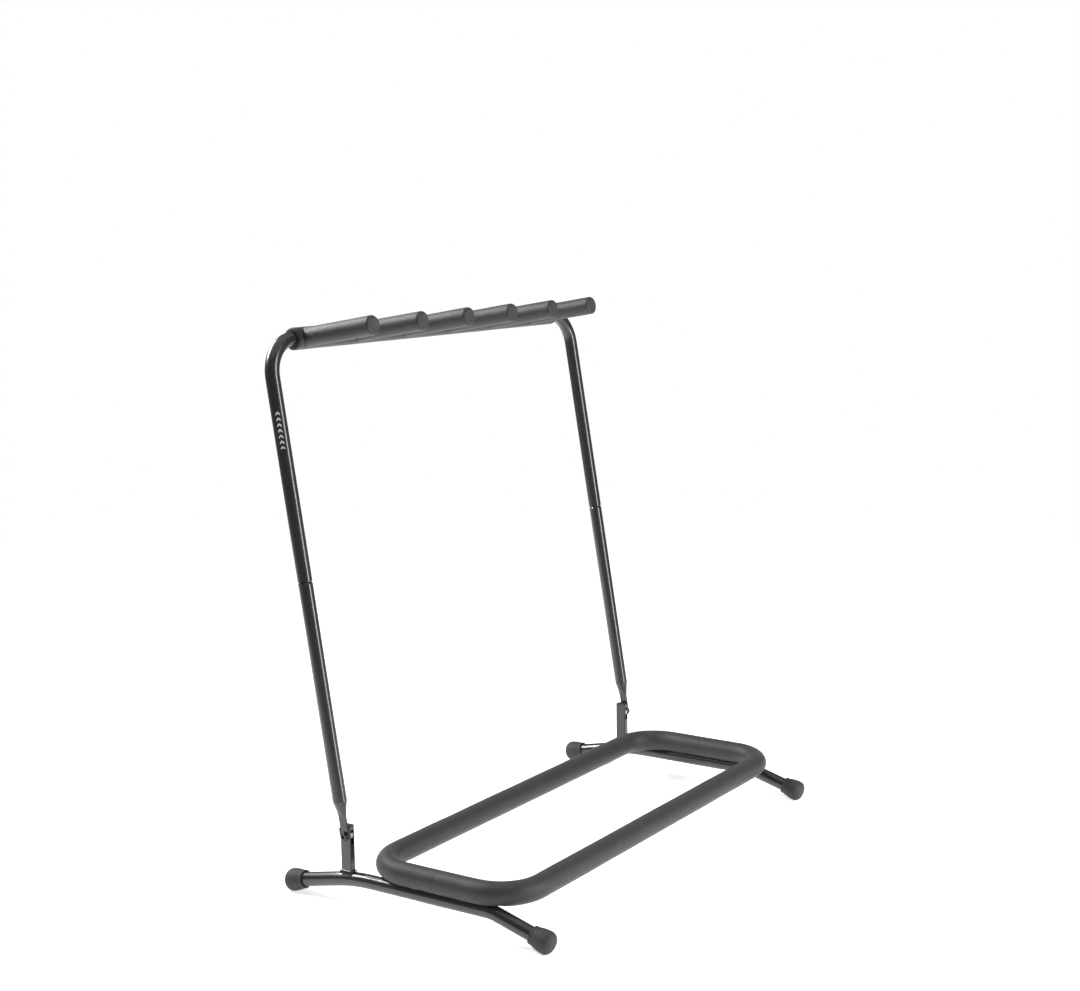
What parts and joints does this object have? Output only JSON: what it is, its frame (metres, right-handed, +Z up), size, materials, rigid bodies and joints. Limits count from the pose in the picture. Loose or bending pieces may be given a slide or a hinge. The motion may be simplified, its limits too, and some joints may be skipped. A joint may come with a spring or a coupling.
{
  "type": "guitar rack",
  "caption": "Free-standing folding rack: a padded base loop on two arched feet and a leaning portal frame with a row of padded neck fingers.",
  "frame": {"origin": "centre of the bounding box on the floor", "axes": "+Z up; X along the rack; -Y is the front, where the neck fingers point; left is -X for a person who faces the rack from the front"},
  "size_m": [0.6812, 0.414, 0.7244],
  "materials": {
    "black_paint": "satin",
    "plated_steel": "satin",
    "foam": "matte",
    "rubber_cap": "matte",
    "tip_cap": "matte",
    "black_plastic": "matte"
  },
  "bodies": {
    "base": {"left_foot_tube": "black_paint", "left_front_foot_cap": "rubber_cap", "left_post": "black_paint", "left_post_plug": "black_plastic", "left_rear_foot_cap": "rubber_cap", "loop_foam_front": "foam", "loop_foam_rear": "foam", "loop_rivet_nuts": "plated_steel", "loop_saddles": "black_plastic", "loop_screws": "plated_steel", "loop_tube_front": "black_paint", "loop_tube_rear": "black_paint", "pivot_bolts": "plated_steel", "pivot_lock_nuts": "plated_steel", "pivot_spacers": "black_plastic", "pivot_washers": "plated_steel", "right_foot_tube": "black_paint", "right_front_foot_cap": "rubber_cap", "right_post": "black_paint", "right_post_plug": "black_plastic", "right_rear_foot_cap": "rubber_cap"},
    "left_upright": {"left_upright": "black_paint"},
    "right_upright": {"right_upright": "black_paint"},
    "upper_frame": {"finger_1_foam": "foam", "finger_1_rod": "black_paint", "finger_1_tip": "tip_cap", "finger_2_foam": "foam", "finger_2_rod": "black_paint", "finger_2_tip": "tip_cap", "finger_3_foam": "foam", "finger_3_rod": "black_paint", "finger_3_tip": "tip_cap", "finger_4_foam": "foam", "finger_4_rod": "black_paint", "finger_4_tip": "tip_cap", "finger_5_foam": "foam", "finger_5_rod": "black_paint", "finger_5_tip": "tip_cap", "finger_6_foam": "foam", "finger_6_rod": "black_paint", "finger_6_tip": "tip_cap", "crossbar_foam": "foam", "upper_frame_tube": "black_paint"}
  },
  "joints": [
    {"name": "left_fold", "type": "hinge", "parent": "base", "child": "left_upright", "pos_m": [-0.33155, 0.09499, 0.089], "axis": [1, 0, 0], "range_deg": [0, 96]},
    {"name": "right_fold", "type": "hinge", "parent": "base", "child": "right_upright", "pos_m": [0.33155, 0.09499, 0.089], "axis": [1, 0, 0], "range_deg": [0, 96]},
    {"name": "frame_lift", "type": "slide", "parent": "left_upright", "child": "upper_frame", "axis": [0, 0.1599, 0.9871], "range_m": [0, 0.045]}
  ],
  "couplings": [
    {"joint": "right_fold", "follows": "left_fold", "ratio": 1}
  ]
}
